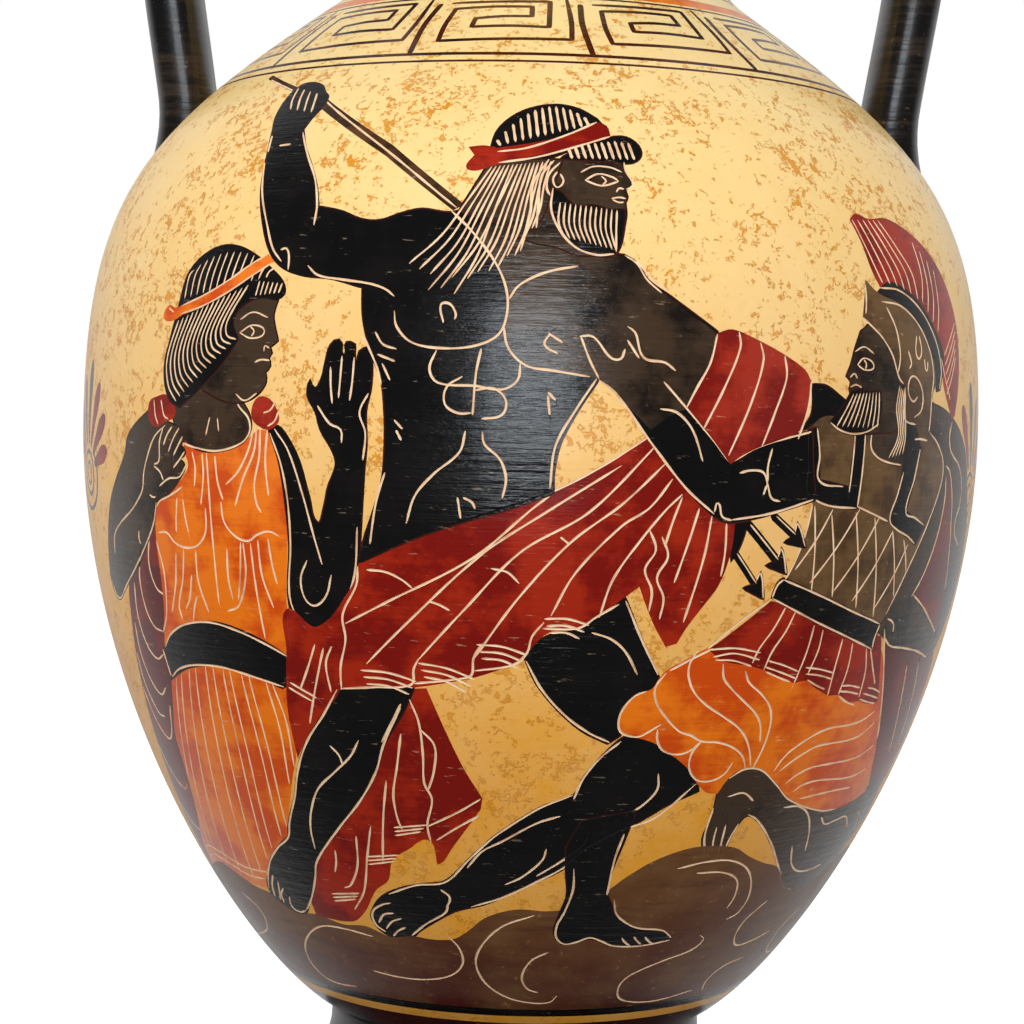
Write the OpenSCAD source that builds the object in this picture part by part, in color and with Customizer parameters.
// Two-handled neck amphora of fired clay, built up the way a potter builds one:
// foot, lower body, upper body, neck and mouth are thrown by themselves and luted
// together at stepped seats, and two pulled handles join the shoulder to the neck.
// Origin at the middle of the resting face, +Z up, handles on the X axis.

/* [Body] */
// Radius of the body at its widest
body_r = 95; // [85:1:116]
// Height of the body, from the foot to the neck
body_h = 212; // [176:1:256]
// Height of the widest place above the foot
belly_z = 124; // [100:1:140]
// Thickness of the body's wall
wall = 6; // [4.5:0.1:8]
// Thickness of the body's floor
body_floor = 10; // [8:0.5:13]
// How far the lower curve runs straight up below the widest place
lower_fullness = 63; // [45:1:80]
// How far the upper curve runs straight up above the widest place
upper_fullness = 47.5; // [38:0.5:58]
// Slope of the bottom where it leaves the foot, in degrees above level
bottom_slope = 19; // [12:1:26]
// Slope of the shoulder where it meets the neck, in degrees above level
shoulder_slope = 36; // [28:1:44]
// Reach of the shoulder's straight slope down from the neck
shoulder_reach = 48; // [38:1:56]

/* [Foot] */
// Height of the foot
foot_h = 24; // [18:1:30]
// Radius of the foot's disc
foot_r = 52; // [48:1:62]
// Thickness of the foot's disc
disc_h = 10; // [6:0.5:12]
// Radius of the foot's stem, where the body stands on it
stem_r = 39.7; // [34:0.1:44]
// Depth of the hollow under the foot
foot_hollow = 12; // [6:1:14]
// Width of the ring that the foot rests on
rest_ring = 9; // [6:0.5:12]

/* [Neck] */
// Height of the neck
neck_h = 58; // [50:1:70]
// Radius of the neck where it stands on the shoulder
neck_base_r = 44; // [41:0.5:50]
// Radius of the neck's waist
neck_waist_r = 32.5; // [31.5:0.5:38]
// Height of the neck's waist above the shoulder
neck_waist_z = 30; // [22:1:36]
// Radius of the neck's top, under the mouth
neck_top_r = 36; // [34.5:0.5:42]
// Radius of the throat, which is a true bore
throat_r = 26.5; // [22:0.5:28]

/* [Mouth] */
// Height of the mouth
mouth_h = 22; // [18:1:26]
// Radius of the mouth's lip
mouth_r = 52; // [46:0.5:62]
// Height of the lip's upright edge
lip_h = 8; // [6:0.5:10]
// Width of the flat ring on top of the lip
lip_ring = 6; // [4:0.5:8]

/* [Handles] */
// Distance of a handle's centre line from the axis at the bottom of its root
handle_r = 72; // [66:0.1:78]
// Thickness of a handle, seen from the front
handle_t = 12; // [10:0.1:15]
// Width of a handle, seen from the end
handle_w = 22; // [17:0.5:27]
// Outward lean of the handle above its root, in degrees
handle_lean = 9; // [4:0.5:12]
// Drop from the underside of the mouth to the handle's upper centre line
handle_drop = 13; // [10:0.5:16]
// Reach of the handle's straight rise above its root
handle_rise = 96; // [80:1:110]
// Reach of the handle's upper arm out from the neck
handle_arm = 58; // [48:1:68]
// How far the smeared root spreads out over the shoulder
root_spread = 8; // [5:0.5:10]
// Height of the smeared root
root_h = 22; // [16:1:28]
// How much wider the root is than the handle
root_widen = 1.3; // [1.1:0.05:1.5]

/* [Joints] */
// Height of the step in each luted joint
seat_h = 3; // [2:0.5:4]
// Radius of the round seat between the foot and the body
foot_seat_r = 26; // [20:1:30]

/* [Hidden] */
$fn = 96;

clay_cream = [0.93, 0.80, 0.55];
glaze_brown = [0.27, 0.17, 0.11];
gloss_black = [0.05, 0.05, 0.05];

curve_steps = 28;             // spans in each half of the body's curve
bend_steps = 10;              // spans in a short curve of the foot, neck or mouth
ring_points = 24;             // points round a handle's section
path_steps = 30;              // stations along a handle
root_depth = 12;              // how far a handle's sweep starts under the shoulder
end_depth = 4;                // how far it ends inside the neck's wall
section_power = 2.6;          // roundness of a handle's section: 2 is an ellipse

body_z = foot_h;                          // foot joint
belly_at = body_z + belly_z;              // belly joint
neck_z = body_z + body_h;                 // neck joint
mouth_z = neck_z + neck_h;                // mouth joint
top_z = mouth_z + mouth_h;

function bezier(p, t) =
    pow(1 - t, 3) * p[0] + 3 * pow(1 - t, 2) * t * p[1]
    + 3 * (1 - t) * t * t * p[2] + pow(t, 3) * p[3];
function bezier_way(p, t) =
    3 * pow(1 - t, 2) * (p[1] - p[0]) + 6 * (1 - t) * t * (p[2] - p[1])
    + 3 * t * t * (p[3] - p[2]);
function unit(v) = v / norm(v);
function curve(p, n) = [for (i = [0:n]) bezier(p, i / n)];
// The same curve moved to its left by d, which is inwards on a profile that runs up
function inset(p, n, d) = [
    for (i = [0:n])
        let (way = unit(bezier_way(p, i / n)))
        bezier(p, i / n) + d * [-way[1], way[0]]
];
function backwards(v) = [for (i = [len(v) - 1:-1:0]) v[i]];
function level(a) = [cos(a), sin(a)];

// Outer curves of the body, from the foot up
bottom_reach = 15.7;
lower_curve = [
    [stem_r, body_z],
    [stem_r, body_z] + bottom_reach * level(bottom_slope),
    [body_r, belly_at - lower_fullness],
    [body_r, belly_at]
];
upper_curve = [
    [body_r, belly_at],
    [body_r, belly_at + upper_fullness],
    [neck_base_r, neck_z] + shoulder_reach * level(-shoulder_slope),
    [neck_base_r, neck_z]
];
lower_out = curve(lower_curve, curve_steps);
upper_out = curve(upper_curve, curve_steps);
lower_in = [
    for (p = inset(lower_curve, curve_steps, wall))
        if (p[1] > body_z + body_floor + wall / 2) p
];
upper_in_raw = inset(upper_curve, curve_steps, wall);
mouth_of_body = neck_base_r - wall / sin(shoulder_slope);
upper_in = [for (p = upper_in_raw) if (p[1] < neck_z - wall / 2 && p[0] > mouth_of_body) p];

// Middle of the wall at each luted joint, where its step stands
belly_step_r = body_r - wall / 2;
neck_step_r = (neck_base_r + mouth_of_body) / 2;
mouth_step_r = (neck_top_r + throat_r) / 2;

neck_lower_curve = [
    [neck_base_r, neck_z],
    [neck_base_r, neck_z] + (neck_base_r - neck_waist_r) * 0.7 * level(180 - shoulder_slope),
    [neck_waist_r, neck_z + neck_waist_z * 0.55],
    [neck_waist_r, neck_z + neck_waist_z]
];
neck_upper_curve = [
    [neck_waist_r, neck_z + neck_waist_z],
    [neck_waist_r, (neck_z + neck_waist_z + mouth_z) / 2],
    [neck_top_r, mouth_z - neck_h / 6],
    [neck_top_r, mouth_z]
];
neck_out = concat(
    curve(neck_lower_curve, bend_steps),
    [for (i = [1:bend_steps]) bezier(neck_upper_curve, i / bend_steps)]
);
throat_rise = 8;                 // where the throat's bore starts, above the joint
throat_z = neck_z + seat_h + throat_rise;

lip_z = top_z - lip_h;
mouth_curve = [
    [neck_top_r, mouth_z],
    [neck_top_r + 2, mouth_z + (mouth_h - lip_h) * 0.5],
    [mouth_r - 2, lip_z - 4],
    [mouth_r, lip_z]
];
lip_round = min(3, lip_h / 3);

// One cavetto from the disc up to the stem
foot_step = 3;
foot_curve = [
    [foot_r - foot_step, disc_h],
    [stem_r + 1.5, disc_h + 1],
    [stem_r, foot_h - (foot_h - disc_h) * 0.6],
    [stem_r, foot_h]
];
disc_round = disc_h * 0.28;

module foot() {
    color(gloss_black)
    rotate_extrude() polygon(concat(
        [[0, foot_hollow], [foot_r - disc_round - rest_ring - foot_hollow * 0.6, foot_hollow],
         [foot_r - disc_round - rest_ring, 0], [foot_r - disc_round, 0]],
        [for (a = [-70:20:70]) [foot_r - disc_round, disc_h / 2]
            + [disc_round * cos(a), disc_h / 2 * sin(a)]],
        [[foot_r - disc_round, disc_h]],
        curve(foot_curve, bend_steps),
        [[foot_seat_r, foot_h], [foot_seat_r, foot_h + seat_h], [0, foot_h + seat_h]]
    ));
}

module body_lower() {
    floor_z = body_z + body_floor;
    color(clay_cream)
    rotate_extrude() polygon(concat(
        [[0, body_z + seat_h], [foot_seat_r, body_z + seat_h], [foot_seat_r, body_z]],
        lower_out,
        [[belly_step_r, belly_at], [belly_step_r, belly_at + seat_h],
         [body_r - wall, belly_at + seat_h]],
        backwards(lower_in),
        [[lower_in[0][0] - wall, floor_z], [0, floor_z]]
    ));
}

module body_upper() {
    color(clay_cream)
    rotate_extrude() polygon(concat(
        upper_out,
        [[neck_step_r, neck_z], [neck_step_r, neck_z + seat_h], [mouth_of_body, neck_z + seat_h],
         [mouth_of_body, neck_z]],
        [for (p = backwards(upper_in)) if (p[1] > belly_at + seat_h) p],
        [[body_r - wall, belly_at + seat_h], [belly_step_r, belly_at + seat_h],
         [belly_step_r, belly_at]]
    ));
}

module neck() {
    color(clay_cream)
    rotate_extrude() polygon(concat(
        neck_out,
        [[mouth_step_r, mouth_z], [mouth_step_r, mouth_z - seat_h], [throat_r, mouth_z - seat_h],
         [throat_r, throat_z], [mouth_of_body, neck_z + seat_h],
         [neck_step_r, neck_z + seat_h], [neck_step_r, neck_z]]
    ));
}

module mouth() {
    inner_r = mouth_r - lip_ring;
    color(gloss_black)
    rotate_extrude() polygon(concat(
        [[throat_r, mouth_z - seat_h], [mouth_step_r, mouth_z - seat_h], [mouth_step_r, mouth_z]],
        curve(mouth_curve, bend_steps),
        [for (a = [0:15:90]) [mouth_r - lip_round, top_z - lip_round] + lip_round * level(a)],
        [for (a = [90:15:180]) [inner_r + lip_round, top_z - lip_round] + lip_round * level(a)],
        [for (i = [1:bend_steps]) bezier([
            [inner_r, top_z - lip_round], [inner_r - 1, lip_z - 3],
            [throat_r, mouth_z + 8], [throat_r, mouth_z]], i / bend_steps)]
    ));
}

// Solid shapes that a handle's ends are cut to
module body_filled() {
    rotate_extrude() polygon(concat([[0, body_z]], lower_out, upper_out, [[0, neck_z]]));
}
module neck_filled() {
    rotate_extrude() polygon(concat([[0, neck_z - wall]], [[neck_base_r, neck_z - wall]],
        neck_out, [[0, mouth_z]]));
}

// A handle's centre line is one curve in the XZ plane, from the foot of its smeared
// root on the shoulder's skin to inside the neck's wall
shoulder_heights = [for (p = backwards(upper_out)) [p[0], p[1]]];
root_z = lookup(handle_r + handle_t / 2 + root_spread, shoulder_heights);
handle_line = [
    [handle_r, root_z],
    [handle_r, root_z] + handle_rise * [sin(handle_lean), cos(handle_lean)],
    [neck_top_r - end_depth + handle_arm, mouth_z - handle_drop + 6],
    [neck_top_r - end_depth, mouth_z - handle_drop]
];
function superellipse(a) =
    let (c = cos(a), s = sin(a))
    [sign(c) * pow(abs(c), 2 / section_power), sign(s) * pow(abs(s), 2 / section_power)];
// 1 at the foot of the root, 0 above it
function smear(z) = z > root_z + root_h ? 0 : pow(1 - (z - root_z) / root_h, 2);
function station(t) =
    let (way = unit(bezier_way(handle_line, t)), at = bezier(handle_line, t),
         side = [way[1], -way[0]], m = t < 0.5 ? smear(at[1]) : 0)
    [for (i = [0:ring_points - 1])
        let (s = superellipse(360 * i / ring_points),
             p = at + side * (s[0] * handle_t + (1 + s[0]) * m * root_spread) / 2)
        [p[0], s[1] * (1 + (root_widen - 1) * m) * handle_w / 2, p[1]]];
function buried(ring) = [for (p = ring) p - [0, 0, root_depth]];

module handle() {
    rings = concat([buried(station(0))], [for (i = [0:path_steps]) station(i / path_steps)]);
    n = ring_points;
    last = len(rings) - 1;
    points = [for (r = rings) for (p = r) p];
    sides = [for (j = [0:last - 1]) for (i = [0:n - 1])
        let (k = (i + 1) % n)
        each [[j * n + i, j * n + k, (j + 1) * n + k], [j * n + i, (j + 1) * n + k, (j + 1) * n + i]]];
    ends = [[for (i = [n - 1:-1:0]) i], [for (i = [0:n - 1]) last * n + i]];
    color(gloss_black)
    difference() {
        polyhedron(points, concat(sides, ends));
        body_filled();
        neck_filled();
    }
}

module handle_left() { rotate([0, 0, 180]) handle(); }
module handle_right() { handle(); }

foot();
body_lower();
body_upper();
neck();
mouth();
handle_left();
handle_right();
